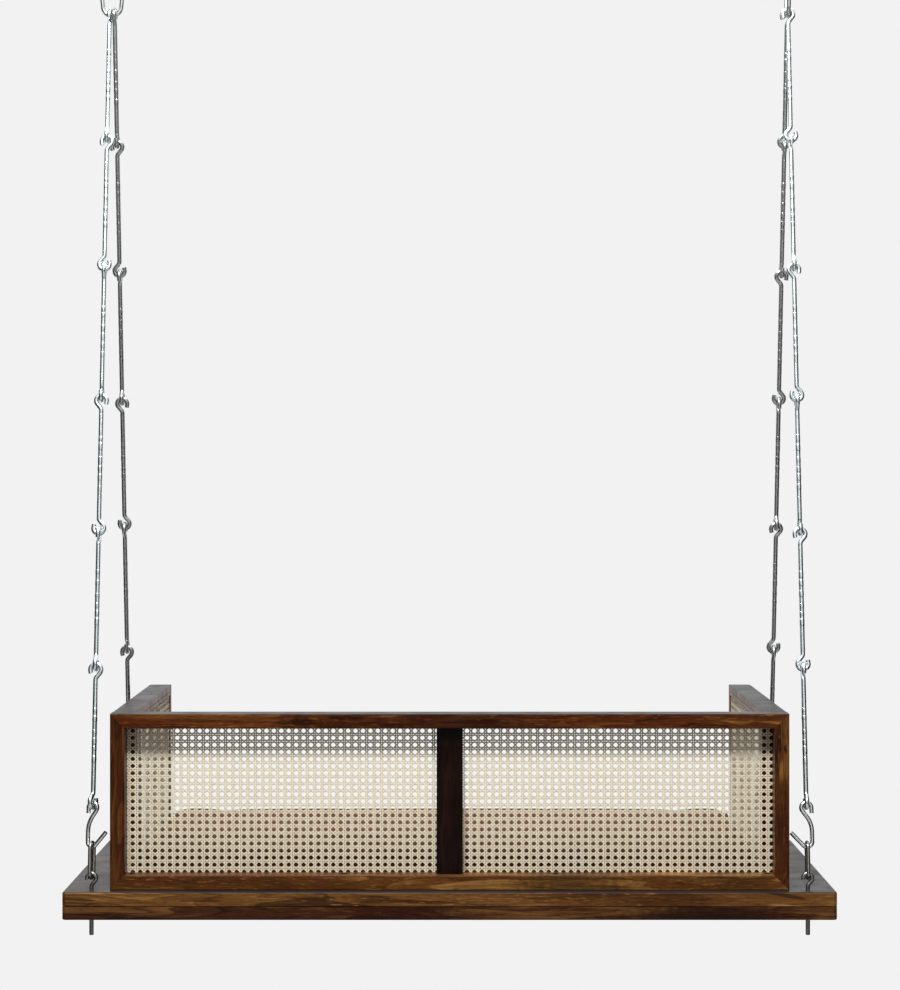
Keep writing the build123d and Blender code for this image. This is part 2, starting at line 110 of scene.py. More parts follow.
def add_piece(name, body, material, bm):
    """Puts a bmesh into the scene as a piece that rides on a body."""
    mesh = finished_mesh(name, bm)
    piece = bpy.data.objects.new(name, mesh)
    bpy.context.scene.collection.objects.link(piece)
    mesh.materials.append(material)
    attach(piece, body)
    return piece


def circle(bm, centre, across, upward_side, radius, sides):
    """A ring of points round a centre."""
    ring = []
    for k in range(sides):
        turn = 2 * math.pi * k / sides
        spoke = (across * math.cos(turn) + upward_side * math.sin(turn)) * radius
        ring.append(bm.verts.new(centre + spoke))
    return ring


def bridge(bm, ring, following):
    """Joins two rings of equally many points with four-sided faces."""
    count = len(ring)
    faces = []
    for k in range(count):
        j = (k + 1) % count
        faces.append(bm.faces.new((ring[k], ring[j], following[j], following[k])))
    return faces


# ---------------------------------------------------------------- materials

def srgb(red, green, blue):
    """A colour as it is seen on screen, 0 to 255, as linear values."""
    linear = []
    for value in (red, green, blue):
        share = value / 255
        linear.append(share / 12.92 if share <= 0.04045 else ((share + 0.055) / 1.055) ** 2.4)
    return (*linear, 1.0)


class Tree:
    """Short names for building a node tree."""

    def __init__(self, tree):
        self.tree = tree
        self.tree.nodes.clear()

    def add(self, kind, **values):
        node = self.tree.nodes.new(kind)
        for key, value in values.items():
            setattr(node, key, value)
        return node

    def join(self, source, target):
        self.tree.links.new(source, target)

    def feed(self, target, value):
        if isinstance(value, bpy.types.NodeSocket):
            self.join(value, target)
        else:
            target.default_value = value

    def math(self, operation, first, second=0.0):
        node = self.add("ShaderNodeMath", operation=operation)
        self.feed(node.inputs[0], first)
        self.feed(node.inputs[1], second)
        return node.outputs["Value"]


class Nodes(Tree):
    """A new material with a principled shader, and the nodes that feed it."""

    def __init__(self, name):
        self.material = bpy.data.materials.new(name)
        self.material.use_nodes = True
        super().__init__(self.material.node_tree)
        self.output = self.add("ShaderNodeOutputMaterial")
        self.shader = self.add("ShaderNodeBsdfPrincipled")
        self.join(self.shader.outputs["BSDF"], self.output.inputs["Surface"])
        self.place = self.add("ShaderNodeTexCoord").outputs["Object"]

    def mapping(self, scale, offset):
        node = self.add("ShaderNodeMapping")
        node.inputs["Scale"].default_value = scale
        node.inputs["Location"].default_value = offset
        self.join(self.place, node.inputs["Vector"])
        return node.outputs["Vector"]

    def noise(self, vector, scale, detail=3.0, roughness=0.5, distortion=0.0):
        node = self.add("ShaderNodeTexNoise")
        self.join(vector, node.inputs["Vector"])
        node.inputs["Scale"].default_value = scale
        node.inputs["Detail"].default_value = detail
        node.inputs["Roughness"].default_value = roughness
        node.inputs["Distortion"].default_value = distortion
        return node.outputs["Fac"]

    def length(self, vector):
        node = self.add("ShaderNodeVectorMath", operation="LENGTH")
        self.join(vector, node.inputs[0])
        return node.outputs["Value"]

    def ramp(self, factor, stops, interpolation="LINEAR"):
        node = self.add("ShaderNodeValToRGB")
        elements = node.color_ramp.elements
        node.color_ramp.interpolation = interpolation
        while len(elements) < len(stops):
            elements.new(0.5)
        for element, (position, colour) in zip(elements, stops):
            element.position = position
            element.color = colour if isinstance(colour, tuple) else (colour, colour, colour, 1)
        self.join(factor, node.inputs["Fac"])
        return node.outputs["Color"]

    def mix(self, factor, first, second, blend="MIX"):
        node = self.add("ShaderNodeMix", data_type="RGBA", blend_type=blend)
        self.feed(node.inputs["Factor"], factor)
        self.feed(node.inputs["A"], first)
        self.feed(node.inputs["B"], second)
        return node.outputs["Result"]

    def tinted(self, colour, tint, share=1.0):
        return self.mix(share, colour, tint, "MULTIPLY")

    def bump(self, height, strength, distance):
        node = self.add("ShaderNodeBump")
        node.inputs["Strength"].default_value = strength
        node.inputs["Distance"].default_value = distance
        self.join(height, node.inputs["Height"])
        self.join(node.outputs["Normal"], self.shader.inputs["Normal"])

    def set(self, **values):
        for key, value in values.items():
            self.feed(self.shader.inputs[key.replace("_", " ")], value)


# how the distance to a knot counts on each axis, by grain: 0 leaves the axis out
knot_shapes = {"X": (0.3, 0, 1), "Z": (1, 0, 0.4)}
upward_normal = 0.6           # a face looks up where its normal's Z is over this
reflection_share = 0.88           # of the painted sky reflection, a dark tone, on faces that look up


def knot(n, grain, x, z, size, depth):
    """A factor that falls from depth to 0 round a knot, with a wavy edge."""
    shape = knot_shapes[grain]
    distance = n.length(n.mapping(shape, (-x * shape[0], 0, -z * shape[2])))
    wobble = n.math("MULTIPLY", n.noise(n.place, 90.0, 2.0), 0.7)
    reach = n.math("ADD", n.math("DIVIDE", distance, size), wobble)
    return n.ramp(reach, [(0.45, depth), (1.0, 0.0)], "EASE")


def upward(n):
    """A factor for the painted sky reflection: its share on faces that look up, and 0 on the
    others.
    """
    facing = n.add("ShaderNodeSeparateXYZ")
    n.join(n.add("ShaderNodeNewGeometry").outputs["Normal"], facing.inputs["Vector"])
    looks_up = n.math("GREATER_THAN", facing.outputs["Z"], upward_normal)
    return n.math("MULTIPLY", looks_up, reflection_share)


def wood(name, grain, dark, middle, light, streak, seed, reflection_tone=None, marks=()):
    """Oiled hardwood: wavy figure, dark streaks, fine fibres and short pores along one axis."""
    n = Nodes(name)
    shift = random.Random(seed).uniform(-9, 9)

    def grained(stretch, scale, detail, roughness=0.5, distortion=0.0):
        """Noise drawn out along the grain: stretch is its scale there, as a share."""
        axes = {"X": (stretch, 1, 1), "Y": (1, stretch, 1), "Z": (1, 1, stretch)}[grain]
        vector = n.mapping(axes, (shift, shift, shift))
        return n.noise(vector, scale, detail, roughness, distortion)

    # figure: a broad wave, the year rings that follow it and a finer wave
    broad = grained(0.13, 16.0, 2.0, 0.5, 1.2)
    bands = n.math("FRACT", n.math("MULTIPLY", broad, 9.0))
    ring = n.ramp(bands, [(0.0, 0.25), (0.16, 0.75), (0.6, 0.55), (0.9, 0.42), (1.0, 0.25)])
    fine = grained(0.07, 70.0, 4.0, 0.6, 0.6)
    level = n.math("ADD", n.math("MULTIPLY", broad, 0.45), n.math("MULTIPLY", fine, 0.35))
    level = n.math("ADD", level, n.math("MULTIPLY", ring, 0.2))
    colour = n.ramp(level, [(0.41, dark), (0.465, middle), (0.515, middle), (0.575, light)])

    # patches of the streak tone, dark veins and knots
    patch = grained(0.3, 7.0, 2.0, 0.5, 0.5)
    colour = n.mix(n.ramp(patch, [(0.5, 0.0), (0.62, 0.85)]), colour, streak)
    vein = grained(0.05, 95.0, 2.0, 0.5, 0.4)
    colour = n.mix(n.ramp(vein, [(0.3, 0.75), (0.38, 0.0)]), colour, dark)
    for x, z, size, depth in marks:
        colour = n.mix(knot(n, grain, x, z, size, depth), colour, dark)

    # pale flecks in some zones, then fibres and pores over all
    fleck = n.ramp(grained(0.12, 430.0, 1.0), [(0.6, 0.0), (0.7, 0.6)])
    fleck_zone = n.ramp(grained(0.4, 9.0, 1.0), [(0.42, 0.1), (0.62, 1.0)])
    colour = n.mix(n.math("MULTIPLY", fleck, fleck_zone), colour, light)
    fibre = grained(0.03, 620.0, 2.0, 0.6)
    colour = n.tinted(colour, n.ramp(fibre, [(0.3, 0.62), (0.7, 1.3)]))
    pores = n.ramp(grained(0.05, 1300.0, 1.0), [(0.36, 0.45), (0.43, 1.0)])
    colour = n.tinted(colour, pores, 0.8)
    # painted sky reflection: faces that look up are mixed towards a dark slate tone
    if reflection_tone:
        colour = n.mix(upward(n), colour, reflection_tone)

    gloss = n.ramp(n.noise(n.place, 22.0, 3.0), [(0.35, 0.3), (0.7, 0.42)])
    n.set(Base_Color=colour, Roughness=gloss)
    n.set(Specular_IOR_Level=0.1, Specular_Tint=(0.7, 0.86, 1.0, 1))
    relief = n.math("ADD", n.math("MULTIPLY", fibre, 0.5), n.math("MULTIPLY", pores, 0.6))
    n.bump(relief, 0.25, 0.4 * MM)
    return n.material


def metal(name, colour, roughness, ripple, seed):
    """Plated steel: faint lengthwise drawing marks, hammered ripples and dull spots."""
    n = Nodes(name)
    offset = (seed, seed * 0.7, 0)
    spots = n.noise(n.mapping((1, 1, 0.6), offset), 160.0, 4.0, 0.65)
    spotted = n.tinted(colour, n.ramp(spots, [(0.34, 0.8), (0.5, 1.0)]))
    drawn = n.noise(n.mapping((1, 1, 0.02), offset), 900.0, 2.0, 0.5)
    lines = n.ramp(drawn, [(0.35, 0.88), (0.65, 1.0)])
    dull = roughness + 0.2
    n.set(Base_Color=n.tinted(spotted, lines), Metallic=1.0)
    n.set(Roughness=n.ramp(spots, [(0.3, dull), (0.7, roughness)]))
    hammered = n.noise(n.mapping((1, 1, 0.5), offset), 70.0, 1.0, 0.3)
    n.bump(hammered, ripple, 1.2 * MM)
    return n.material


def cane_material():
    """Split cane: cream skin with soft changes of tint and darker flecks."""
    n = Nodes("cane_skin")
    skin = [(0.3, srgb(232, 219, 190)), (0.5, srgb(238, 227, 201)), (0.7, srgb(242, 233, 211))]
    colour = n.ramp(n.noise(n.place, 150.0, 2.0), skin)
    fleck = n.noise(n.place, 420.0, 3.0, 0.7)
    colour = n.tinted(colour, n.ramp(fleck, [(0.34, 0.62), (0.5, 1.0)]), 0.5)
    n.set(Base_Color=colour, Roughness=0.48)
    n.bump(n.noise(n.place, 900.0, 2.0), 0.3, 0.2 * MM)
    return n.material


def fabric_material(name, colour, deep, worn):
    """Dense plain weave: crossing yarns, and broad patches that are deeper or more worn."""
    n = Nodes(name)
    yarns_per_metre = 1050.0
    waves = []
    for axis in ("X", "Y", "Z"):
        wave = n.add("ShaderNodeTexWave", wave_type="BANDS", bands_direction=axis)
        n.join(n.place, wave.inputs["Vector"])
        wave.inputs["Scale"].default_value = yarns_per_metre / (2 * math.pi) * 0.9
        wave.inputs["Distortion"].default_value = 1.2
        wave.inputs["Detail Scale"].default_value = 2.0
        waves.append(wave.outputs["Fac"])
    crossing = n.math("MULTIPLY", waves[0], waves[1])
    yarns = n.math("MULTIPLY", crossing, n.math("ADD", waves[2], 0.4))
    broad = n.noise(n.place, 7.0, 4.0, 0.6)
    tone = n.ramp(broad, [(0.3, deep), (0.52, colour), (0.75, worn)])
    tone = n.tinted(tone, n.ramp(yarns, [(0.0, 0.55), (0.5, 1.1)]), 0.55)
    n.set(Base_Color=tone, Roughness=0.92, Specular_IOR_Level=0.25)
    n.set(Sheen_Weight=0.35, Sheen_Roughness=0.45, Sheen_Tint=srgb(190, 150, 120))
    n.bump(yarns, 0.5, 0.5 * MM)
    return n.material


def paint_material():
    """Black powder coat: fine orange-peel and paler patches of dust."""
    n = Nodes("plate_paint")
    dust = n.noise(n.place, 60.0, 5.0, 0.7)
    colour = n.ramp(dust, [(0.4, srgb(30, 29, 28)), (0.75, srgb(62, 58, 54))])
    n.set(Base_Color=colour, Roughness=0.62)
    n.bump(n.noise(n.place, 900.0, 2.0), 0.25, 0.2 * MM)
    return n.material


dark_brown = srgb(48, 22, 9)
red_brown = srgb(88, 38, 14)
warm_brown = srgb(112, 70, 30)
gold_brown = srgb(152, 106, 54)

# node: grain axis, dark, middle, light and streak tones
wood_tones = {
    "seat_board": ("X", srgb(66, 39, 17), srgb(111, 73, 36), srgb(154, 112, 62), srgb(90, 54, 24)),
    "seat_back_rail": ("X", srgb(36, 17, 9), srgb(66, 36, 18), srgb(108, 72, 38), srgb(58, 24, 12)),
    "seat_front_rail": ("X", dark_brown, srgb(86, 52, 28), srgb(118, 78, 42), red_brown),
    "seat_left_rail": ("Y", dark_brown, srgb(90, 55, 30), gold_brown, red_brown),
    "seat_right_rail": ("Y", dark_brown, srgb(84, 50, 26), warm_brown, red_brown),
    "seat_left_batten": ("Y", dark_brown, warm_brown, gold_brown, red_brown),
    "seat_right_batten": ("Y", dark_brown, warm_brown, gold_brown, red_brown),
    "back_top_rail": ("X", srgb(40, 14, 5), srgb(84, 44, 16), srgb(140, 92, 44), srgb(74, 27, 9)),
    "back_bottom_rail": (
        "X", srgb(56, 30, 11), srgb(104, 64, 27), srgb(154, 110, 58), srgb(86, 48, 19)),
    "back_left_stile": ("Z", srgb(38, 16, 6), srgb(66, 33, 13), srgb(98, 58, 26), srgb(60, 25, 10)),
    "back_right_stile": (
        "Z", srgb(42, 20, 8), srgb(82, 46, 19), srgb(132, 88, 42), srgb(72, 34, 14)),
    "back_mullion": ("Z", srgb(8, 3, 1), srgb(20, 8, 4), srgb(36, 17, 8), srgb(26, 9, 4)),
}
for side in side_signs:
    for rail in ("top_rail", "bottom_rail"):
        wood_tones[f"{side}_arm_{rail}"] = (
            "Y", dark_brown, srgb(88, 52, 24), warm_brown, red_brown)
    for stile in ("rear_stile", "front_stile"):
        wood_tones[f"{side}_arm_{stile}"] = (
            "Z", dark_brown, srgb(82, 44, 20), warm_brown, red_brown)

nickel = metal("rod_nickel", srgb(214, 222, 224), 0.17, 0.14, 1.0)
dark_nickel = metal("rod_nickel_dark", srgb(176, 179, 178), 0.22, 0.16, 6.0)
steel = metal("hook_steel", srgb(196, 200, 199), 0.16, 0.2, 2.0)
dull_steel = metal("link_steel", srgb(150, 148, 142), 0.24, 0.25, 3.0)
zinc = metal("fastener_zinc", srgb(170, 172, 174), 0.3, 0.1, 4.0)
brass = metal("screw_brass", srgb(46, 40, 33), 0.5, 0.1, 5.0)     # tarnished nearly black
cane = cane_material()
paint = paint_material()
cushion_fabric = fabric_material(
    "cushion_fabric", srgb(86, 52, 38), srgb(76, 45, 32), srgb(96, 60, 45))
piping_fabric = fabric_material(
    "piping_fabric", srgb(72, 43, 31), srgb(62, 36, 26), srgb(82, 50, 37))


def dress(node, material):
    """Gives a CAD node one material in all its slots."""
    mesh = nodes[node].data
    if not mesh.materials:
        mesh.materials.append(material)
    for index in range(len(mesh.materials)):
        mesh.materials[index] = material


# painted sky reflection: the dark slate tone mixed into the upward faces of these parts
sky_reflection_colour = srgb(31, 34, 38)
reflecting_tops = ("seat_board", "left_arm_top_rail", "right_arm_top_rail", "back_top_rail")
# node: x, z, radius and depth of colour of its knots and dark patches
frame_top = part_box("back_top_rail")[1][2]
knots = {
    "back_top_rail": [
        (-0.244, frame_top - 0.014, 0.022, 0.95),
        (0.03, frame_top - 0.012, 0.1, 0.7),
    ],
    "back_right_stile": [
        (0.552, frame_top - 0.056, 0.008, 0.95),
        (0.548, frame_top - 0.19, 0.03, 0.5),
    ],
    "seat_board": [
        (0.36, seat_top - 0.02, 0.05, 0.5),
        (-0.12, seat_top - 0.008, 0.03, 0.35),
    ],
    "seat_back_rail": [
        (0.42, seat_bottom + 0.008, 0.08, 0.85),
        (-0.05, seat_bottom + 0.01, 0.05, 0.6),
    ],
    "back_bottom_rail": [
        (0.2, seat_top + 0.01, 0.07, 0.7),
        (0.46, seat_top + 0.016, 0.05, 0.5),
    ],
}
first_wood_seed = 11
for seed, (node, tones) in enumerate(wood_tones.items(), first_wood_seed):
    reflection_tone = sky_reflection_colour if node in reflecting_tops else None
    dress(node, wood(f"wood_{node}", *tones, seed, reflection_tone, knots.get(node, ())))
for node in nodes:
    if "_rod_" in node:
        dress(node, dark_nickel if node.startswith("front") else nickel)
    elif node.endswith("s_hooks") or node.endswith("_ring"):
        dress(node, steel)
    elif node.endswith("ceiling_plate"):
        dress(node, paint)
for material, small_parts in (
    (dull_steel, ("oval_links", "eye_bolts")),
    (zinc, ("washers", "nuts")),
    (brass, ("wood_screws",)),
):
    for node in small_parts:
        dress(node, material)


# ---------------------------------------------------------------- cane weave

cane_pitch_u = 12.32 * MM     # along a panel
cane_pitch_v = 11.69 * MM     # up a panel
pair_spacing = 2.95 * MM      # between the two strands of a pair
paired_width = 1.78 * MM
diagonal_width = 1.7 * MM
strand_thickness = 0.42 * MM
weave_height = 0.33 * MM
diagonal_lift = weave_height * 1.7
paired_wander_mm = 0.12       # how far a strand strays from its place
diagonal_wander = 0.012       # the same, in pitches
paired_end_room = 0.4 * MM    # least room from a strand's end to its next station
diagonal_end_room = 0.5 * MM
least_diagonal = 0.3          # in pitches


class Panel:
    """An upright flat rectangle of cane: a lower corner, the way along it and its size."""

    def __init__(self, corner, along, width, height):
        self.corner = corner
        self.along = along
        self.out = along.cross(UP)
        self.width = width
        self.height = height
        self.columns = math.ceil(width / cane_pitch_u)
        self.rows = math.ceil(height / cane_pitch_v)

    def point(self, u, v, lift):
        return self.corner + self.along * u + UP * v + self.out * lift


def strand(bm, panel, stations, width):
    """A thin strip, crowned on its outer side, through stations (u, v, lift) on the panel."""
    half = width / 2
    before = None
    for index, (u, v, lift) in enumerate(stations):
        ahead = stations[min(index + 1, len(stations) - 1)]
        behind = stations[max(index - 1, 0)]
        run = Vector((ahead[0] - behind[0], ahead[1] - behind[1]))
        run.normalize()
        side_u, side_v = -run.y * half, run.x * half
        crown = lift + strand_thickness / 2
        underside = lift - strand_thickness / 2
        section = [
            bm.verts.new(panel.point(u + side_u, v + side_v, underside)),
            bm.verts.new(panel.point(u, v, crown)),
            bm.verts.new(panel.point(u - side_u, v - side_v, underside)),
            bm.verts.new(panel.point(u, v, underside)),
        ]
        if before:
            bridge(bm, before, section)
        else:
            bm.faces.new(section)
        before = section
    bm.faces.new(reversed(before))


def straight_strand(length, fixed, pitch, pair, upright):
    """Stations of an upright or level strand that weaves over and under its crossings."""
    stations = [(0.0, 0.0)]
    for line in range(math.ceil(length / pitch) + 1):
        for crossed in (-1, 1):
            spot = line * pitch + crossed * pair_spacing / 2
            if paired_end_room < spot < length - paired_end_room:
                over = crossed * pair if upright else -crossed * pair
                stations.append((spot, over * weave_height / 2))
        middle = (line + 0.5) * pitch
        if middle < length - paired_end_room:
            stations.append((middle, 0.0))
    stations.append((length, 0.0))
    if upright:
        return [(fixed, spot, lift) for spot, lift in stations]
    return [(spot, fixed, lift) for spot, lift in stations]


def paired_strands(bm, panel, rng, upright):
    """All upright or all level pairs of strands of a panel."""
    if upright:
        lines, pitch, crossed_pitch = panel.columns, cane_pitch_u, cane_pitch_v
        reach, length = panel.width, panel.height
    else:
        lines, pitch, crossed_pitch = panel.rows, cane_pitch_v, cane_pitch_u
        reach, length = panel.height, panel.width
    for line in range(lines + 1):
        for pair in (-1, 1):
            wander = rng.uniform(-paired_wander_mm, paired_wander_mm) * MM
            fixed = line * pitch + pair * pair_spacing / 2 + wander
            if 0 < fixed < reach:
                stations = straight_strand(length, fixed, crossed_pitch, pair, upright)
                strand(bm, panel, stations, paired_width)


def diagonal_strand(panel, start, slope):
    """Stations of a diagonal that passes midway between the crossings of the pairs.

    start is its place on the panel's lower edge, in pitches, and it crosses a pair of strands
    at every half pitch: over the level pairs and under the upright ones, or the reverse."""
    steep = cane_pitch_v / cane_pitch_u
    start_u = start * cane_pitch_u
    rise = panel.height / steep
    first = max(0.0, -start_u if slope > 0 else start_u - panel.width)
    last = min(rise, panel.width - start_u if slope > 0 else start_u)
    if last - first < cane_pitch_u * least_diagonal:
        return []
    step = cane_pitch_u / 2
    low_run, high_run = first + diagonal_end_room, last - diagonal_end_room
    stations = [(first, round(first / step))]
    stations += [
        (k * step, k) for k in range(int(last / step) + 2) if low_run < k * step < high_run
    ]
    stations.append((last, round(last / step)))
    return [
        (start_u + slope * run, run * steep, diagonal_lift * slope * (1 if k % 2 == 0 else -1))
        for run, k in stations
    ]


def weave(name, panel, replaced):
    """The six-way open cane weave over one panel, in place of its CAD sheet."""
    rng = random.Random(name)
    bm = bmesh.new()
    paired_strands(bm, panel, rng, True)
    paired_strands(bm, panel, rng, False)
    for slope in (-1, 1):
        for place in range(-panel.rows - 1, panel.columns + panel.rows + 2):
            start = place + 0.5 + rng.uniform(-diagonal_wander, diagonal_wander)
            stations = diagonal_strand(panel, start, slope)
            if stations:
                strand(bm, panel, stations, diagonal_width)
    bmesh.ops.recalc_face_normals(bm, faces=bm.faces)
    piece = add_piece(name, "seat", cane, bm)
    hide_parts(replaced)


def cane_panels():
    """One weave in the backrest and one in each arm, in the middle of their CAD sheets."""
    low, high = box_corners("back_cane")
    corner = Vector((high.x, (low.y + high.y) / 2, low.z))
    panel = Panel(corner, Vector((-1, 0, 0)), high.x - low.x, high.z - low.z)
    weave("back_weave", panel, "back_cane")
    for side, sign in side_signs.items():
        low, high = box_corners(f"{side}_arm_cane")
        start_y = high.y if sign < 0 else low.y
        corner = Vector(((low.x + high.x) / 2, start_y, low.z))
        panel = Panel(corner, Vector((0, sign, 0)), high.y - low.y, high.z - low.z)
        weave(f"{side}_arm_weave", panel, f"{side}_arm_cane")


cane_panels()


# ---------------------------------------------------------------- turned detail on round bars

rod_seed = 7
rod_sides = 14                # round a rod's ribs and rings
rib_stretches = ((0.13, 0.27), (0.73, 0.87))      # shares of a rod's length
rib_pitch = 2.6 * MM
rib_depth = 0.1 * MM          # the same above and below the rod's surface
hammered_shares = (0.33, 0.4, 0.46, 0.53, 0.62, 0.68)
hammered_wander = 0.012       # of a rod's length
hammered_half_mm = (2.5, 4.5)
hammered_rise_mm = (0.22, 0.4)

thread_sides = 16
thread_pitch = 1.0 * MM
thread_start = 0.8 * MM       # plain end of a stud
thread_stop = 0.6 * MM        # last thread to the nut
thread_root = stud_radius - 0.05 * MM
thread_crest = stud_radius + 0.28 * MM


def turned_sleeve(bm, start, axis, profile, sides):
    """A closed sleeve round a line: profile is a list of (distance along, radius)."""
    across = axis.orthogonal().normalized()
    third = axis.cross(across).normalized()
    rings = []
    for distance, radius in profile:
        rings.append(circle(bm, start + axis * distance, across, third, radius, sides))
    for ring, following in zip(rings, rings[1:]):
        bridge(bm, ring, following)
    bm.faces.new(reversed(rings[0]))
    bm.faces.new(rings[-1])


def ribbed(first, last, pitch, root, crest):
    """Profile of a run of ribs between two radii, each with a flat top and sloping sides."""
    count = max(1, round((last - first) / pitch))
    step = (last - first) / count
    profile = [(first, root)]
    for k in range(count):
        profile.append((first + (k + 0.3) * step, crest))
        profile.append((first + (k + 0.7) * step, crest))
        profile.append((first + (k + 1) * step, root))
    return profile


def hammered(middle, half, rise):
    """Profile of one low hammered ring on a rod."""
    foot = rod_radius - rib_depth
    shoulder = rod_radius + 0.6 * rise
    return [
        (middle - 2 * half, foot),
        (middle - half, shoulder),
        (middle, rod_radius + rise),
        (middle + half, shoulder),
        (middle + 2 * half, foot),
    ]


def chain_line(side, row):
    """Foot of a chain at its eye bolt and the direction up to its hook in the ring."""
    side_sign, row_sign = side_signs[side], row_signs[row]
    foot = Vector((side_sign * eye_x, row_sign * eye_y, eye_crown_z))
    top_z = box_corners(f"{row}_{side}_rod_1")[1].z - rod_radius
    if side == "left":
        top = Vector((-eye_x + row_sign * hook_offset, -row_sign * hook_lean, top_z))
    else:
        top = Vector((eye_x, row_sign * hook_offset, top_z))
    return foot, (top - foot).normalized()


def rod_detail(bm, rng, node, foot, up):
    """Ribs near both ends of one rod, and hammered rings between them."""
    low, high = box_corners(node)
    start = foot + up * ((low.z + rod_radius - foot.z) / up.z)
    length = (high.z - low.z - 2 * rod_radius) / up.z
    root, crest = rod_radius - rib_depth, rod_radius + rib_depth
    for first, last in rib_stretches:
        profile = ribbed(first * length, last * length, rib_pitch, root, crest)
        turned_sleeve(bm, start, up, profile, rod_sides)
    for share in hammered_shares:
        middle = (share + rng.uniform(-hammered_wander, hammered_wander)) * length
        half = rng.uniform(*hammered_half_mm) * MM
        rise = rng.uniform(*hammered_rise_mm) * MM
        turned_sleeve(bm, start, up, hammered(middle, half, rise), rod_sides)


def rod_ribs():
    """The turned detail of all rods, as one piece for each chain."""
    rng = random.Random(rod_seed)
    for side in side_signs:
        for row in row_signs:
            foot, up = chain_line(side, row)
            bm = bmesh.new()
            for place in range(1, rods_per_chain + 1):
                rod_detail(bm, rng, f"{row}_{side}_rod_{place}", foot, up)
            for face in bm.faces:
                face.smooth = len(face.verts) == 4
            finish = dark_nickel if row == "front" else nickel
            add_piece(f"{row}_{side}_rod_ribs", f"{side}_chains", finish, bm)


def stud_threads():
    """Thread on each stud below its nut."""
    bm = bmesh.new()
    stud_end = box_corners("eye_bolts")[0].z
    nut_low = box_corners("nuts")[0].z
    length = nut_low - stud_end - thread_stop
    profile = ribbed(thread_start, length, thread_pitch, thread_root, thread_crest)
    for x in (-eye_x, eye_x):
        for y in (-eye_y, eye_y):
            turned_sleeve(bm, Vector((x, y, stud_end)), UP, profile, thread_sides)
    add_piece("stud_threads", "seat", dull_steel, bm)


# ---------------------------------------------------------------- screw heads and arm strips

back_screw_inset = 34 * MM    # backrest's end to its outer screws, as in the CAD model
arm_screw_inset = 87.5 * MM   # each end of an arm to its screw
head_radius = 5.6 * MM
head_dome = 1.3 * MM
head_steps = 22
head_lift = 0.15 * MM         # the dome's rim above the CAD screws
head_foot_lift = 0.02 * MM
recess_half = 0.6 * MM        # half the width of the cross
recess_reach = 2.6 * MM
recess_depth = 0.9 * MM

spline_half = 3.2 * MM        # half the strip's width
spline_rise = 1.3 * MM
spline_inset = spline_half + 0.4 * MM
spline_seed = 70
# the strip's section, as shares of its half width and of its rise
spline_section = ((-1, -0.3), (-1, 0.35), (-0.7, 0.8), (0, 1), (0.7, 0.8), (1, 0.35), (1, -0.3))


def screw_head(bm, x, y, top_z):
    """A low domed head with a cross recess: a square grid drawn in to a circle."""
    steps = head_steps
    grid = {}
    for i in range(steps + 1):
        for k in range(steps + 1):
            u, v = 2 * i / steps - 1, 2 * k / steps - 1
            reach = head_radius * max(abs(u), abs(v))
            flat = math.hypot(u, v) or 1.0
            px, py = u / flat * reach, v / flat * reach
            height = head_dome * (1 - (reach / head_radius) ** 2)
            in_cross = min(abs(px), abs(py)) < recess_half and max(abs(px), abs(py)) < recess_reach
            if in_cross:
                height -= recess_depth
            grid[i, k] = bm.verts.new((x + px, y + py, top_z + head_lift + height))
    for i in range(steps):
        for k in range(steps):
            bm.faces.new((grid[i, k], grid[i + 1, k], grid[i + 1, k + 1], grid[i, k + 1]))
    rim = [grid[i, 0] for i in range(steps)] + [grid[steps, k] for k in range(steps)]
    rim += [grid[i, steps] for i in range(steps, 0, -1)] + [grid[0, k] for k in range(steps, 0, -1)]
    foot = [bm.verts.new((vert.co.x, vert.co.y, top_z + head_foot_lift)) for vert in rim]
    bridge(bm, foot, rim)
    bm.faces.new(list(reversed(foot)))


def screw_heads():
    """A head on every wood screw: four in the backrest and two in each arm."""
    top_z = box_corners("wood_screws")[1].z
    back_low, back_high = box_corners("back_bottom_rail")
    arm_low, arm_high = box_corners("left_arm_bottom_rail")
    outer_x = back_high.x - back_screw_inset
    back_y = (back_low.y + back_high.y) / 2
    arm_x = -(arm_low.x + arm_high.x) / 2
    arm_ys = (arm_low.y + arm_screw_inset, arm_high.y - arm_screw_inset)
    places = [(sign * x, back_y) for sign in (-1, 1) for x in (outer_x / 3, outer_x)]
    places += [(sign * arm_x, y) for sign in (-1, 1) for y in arm_ys]
    bm = bmesh.new()
    for x, y in places:
        screw_head(bm, x, y, top_z)
    add_piece("screw_heads", "seat", brass, bm)


def arm_splines():
    """A rounded wooden strip that covers the edge of the cane on the inside of each arm."""
    for side, sign in side_signs.items():
        low, high = box_corners(f"{side}_arm_cane")
        face_x = sign * min(abs(low.x), abs(high.x))
        corners = [
            (low.y + spline_inset, low.z + spline_inset),
            (high.y - spline_inset, low.z + spline_inset),
            (high.y - spline_inset, high.z - spline_inset),
            (low.y + spline_inset, high.z - spline_inset),
        ]
        bm = bmesh.new()
        rings = []
        for y, z in corners:
            out_y = -1 if y < (low.y + high.y) / 2 else 1
            out_z = -1 if z < (low.z + high.z) / 2 else 1
            ring = []
            for across, up in spline_section:
                corner_y = y + out_y * across * spline_half
                corner_z = z + out_z * across * spline_half
                ring.append(bm.verts.new((face_x - sign * up * spline_rise, corner_y, corner_z)))
            rings.append(ring)
        for ring, following in zip(rings, rings[1:] + rings[:1]):
            bridge(bm, ring, following)
        bmesh.ops.recalc_face_normals(bm, faces=bm.faces)
        tones = wood_tones[f"{side}_arm_top_rail"]
        material = wood(f"wood_{side}_spline", *tones, spline_seed + sign)
        add_piece(f"{side}_arm_spline", "seat", material, bm)


rod_ribs()
stud_threads()
screw_heads()
arm_splines()


# ---------------------------------------------------------------- cushion

